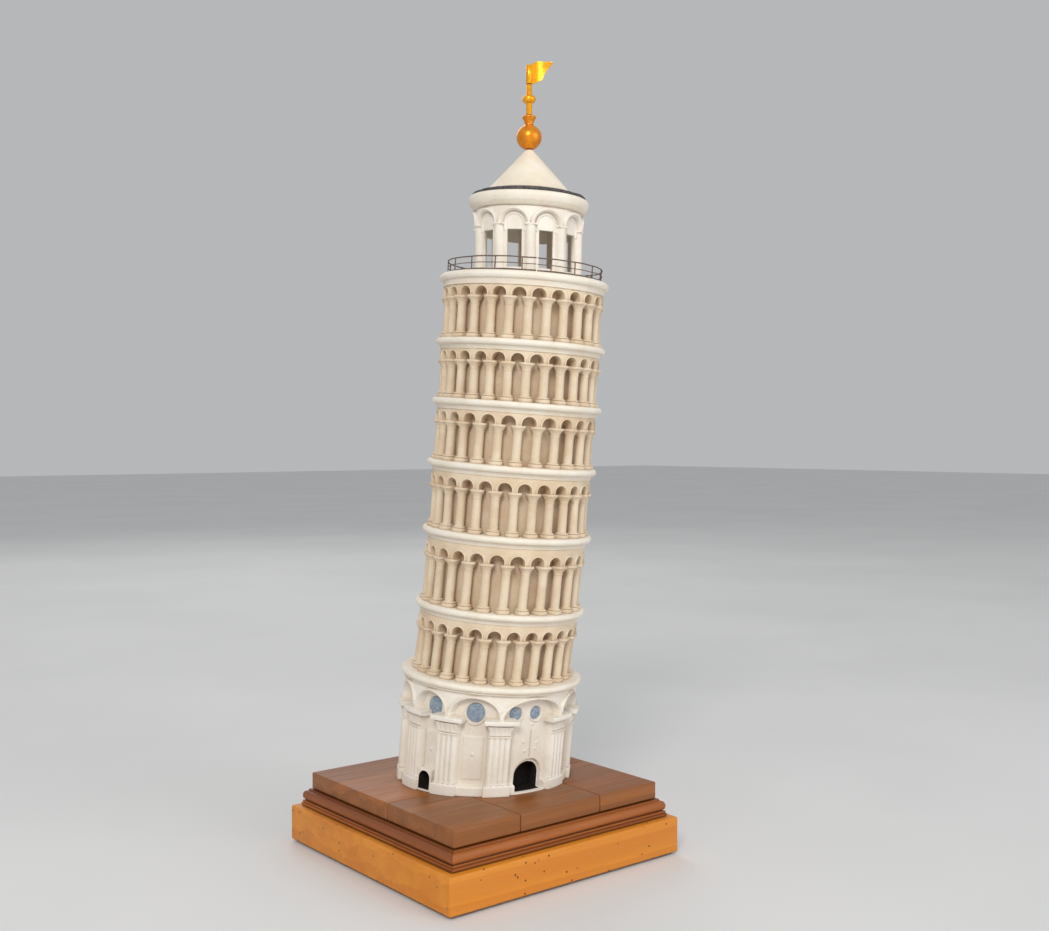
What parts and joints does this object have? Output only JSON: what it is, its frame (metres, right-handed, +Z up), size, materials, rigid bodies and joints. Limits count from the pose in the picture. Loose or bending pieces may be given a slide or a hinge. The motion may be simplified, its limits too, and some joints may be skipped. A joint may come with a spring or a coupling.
{
  "type": "miniature landmark model",
  "caption": "Leaning round tower model with arcaded galleries, an open belfry and a gilt finial on a stepped wooden base; its small flag vane turns on an upright pin.",
  "frame": {"origin": "middle of the felt underside, on the surface that the model stands on", "axes": "+Z up; -Y is the front face of the base, which the main doorway looks over; +X is to the right of the front"},
  "size_m": [0.12, 0.12, 0.3397],
  "materials": {
    "felt": "matt dark green felt",
    "honey_wood": "satin varnish over light wood, with small pin holes",
    "stained_wood": "mid-brown stain, satin",
    "brown_wood": "dark reddish-brown stain, satin",
    "panel_wood": "raw fibreboard, hidden",
    "ivory_casting": "cast stone powder, matt ivory white with warm dirt in the corners",
    "buff_casting": "cast stone powder, toned beige with brown in the recesses",
    "slate": "blue-grey, slightly polished",
    "lead_sheet": "dull dark grey, uneven",
    "rusty_wire": "thin reddish-brown, worn",
    "gold": "bright gold lacquer",
    "steel": "plain zinc plate, hidden"
  },
  "bodies": {
    "root": {"base_felt": "felt", "plinth_board": "honey_wood", "moulding_front": "stained_wood", "moulding_right": "stained_wood", "moulding_back": "stained_wood", "moulding_left": "stained_wood", "infill_panel": "panel_wood", "top_board_back": "brown_wood", "top_board_front_left": "brown_wood", "top_board_front_middle": "brown_wood", "top_board_front_right": "brown_wood", "base_screw_1": "steel", "base_screw_2": "steel", "base_screw_3": "steel", "base_screw_4": "steel", "tie_rod": "steel", "lower_washer": "steel", "lower_nut": "steel", "upper_washer": "steel", "upper_nut": "steel", "ground_storey": "ivory_casting", "roundel_1": "slate", "roundel_2": "slate", "roundel_3": "slate", "roundel_4": "slate", "roundel_5": "slate", "roundel_6": "slate", "roundel_7": "slate", "roundel_8": "slate", "roundel_9": "slate", "roundel_10": "slate", "roundel_11": "slate", "roundel_12": "slate", "ground_cornice": "ivory_casting", "gallery_2_colonnade": "buff_casting", "gallery_2_cornice": "ivory_casting", "gallery_3_colonnade": "buff_casting", "gallery_3_cornice": "ivory_casting", "gallery_4_colonnade": "buff_casting", "gallery_4_cornice": "ivory_casting", "gallery_5_colonnade": "buff_casting", "gallery_5_cornice": "ivory_casting", "gallery_6_colonnade": "buff_casting", "gallery_6_cornice": "ivory_casting", "gallery_7_colonnade": "buff_casting", "terrace_slab": "ivory_casting", "terrace_railing_1": "rusty_wire", "terrace_railing_2": "rusty_wire", "terrace_railing_3": "rusty_wire", "terrace_railing_4": "rusty_wire", "terrace_railing_5": "rusty_wire", "terrace_railing_6": "rusty_wire", "belfry_wall": "ivory_casting", "belfry_cornice": "ivory_casting", "roof_plate": "lead_sheet", "roof_cone": "ivory_casting", "finial_socket": "gold"},
    "vane": {"vane_mast": "gold", "vane_flag": "gold"}
  },
  "joints": [
    {"name": "vane_swivel", "type": "hinge", "parent": "root", "child": "vane", "pos_m": [0.01619, -0.01286, 0.3163], "axis": [0, 0, 1], "continuous": true}
  ]
}
